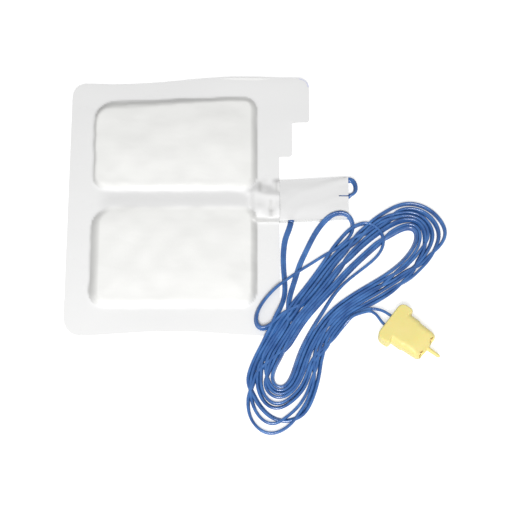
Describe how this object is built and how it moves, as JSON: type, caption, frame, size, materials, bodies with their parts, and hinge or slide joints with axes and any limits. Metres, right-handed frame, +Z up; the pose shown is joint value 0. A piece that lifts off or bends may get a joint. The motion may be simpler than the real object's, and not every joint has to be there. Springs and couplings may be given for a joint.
{
  "type": "electrosurgical return electrode",
  "caption": "Flat split return electrode pad under a release liner with raised pans, a tab, a coiled flat twin lead and a moulded plug with sockets and a pin.",
  "frame": {"origin": "underside of the foam backing, below the land between the two contact areas", "axes": "+X from the pad towards its tab, +Y along the pad, +Z up through the release liner"},
  "size_m": [0.2292, 0.2286, 0.0106],
  "materials": {
    "foam": "soft white closed-cell foam",
    "foil": "thin bright foil",
    "gel": "tacky translucent hydrogel",
    "liner": "milky white thermoformed film",
    "cover": "matt white strip",
    "tinned_metal": "tinned terminal",
    "blue_lead": "soft blue flexible vinyl",
    "yellow_plug": "pale yellow moulded plastic",
    "brass": "plain contact sleeve"
  },
  "bodies": {
    "root": {"backing_foam": "foam", "foil_upper": "foil", "foil_lower": "foil", "gel_upper": "gel", "gel_lower": "gel", "release_liner": "liner", "tab_cover": "cover", "crimp_upper": "tinned_metal", "crimp_lower": "tinned_metal", "lead_anchor": "blue_lead", "cord_lead_out": "blue_lead", "cord_side_loop": "blue_lead", "cord_hank": "blue_lead", "cord_tail": "blue_lead", "conductor_upper": "blue_lead", "conductor_lower": "blue_lead", "plug_body": "yellow_plug", "socket_upper": "brass", "socket_lower": "brass"}
  },
  "joints": []
}
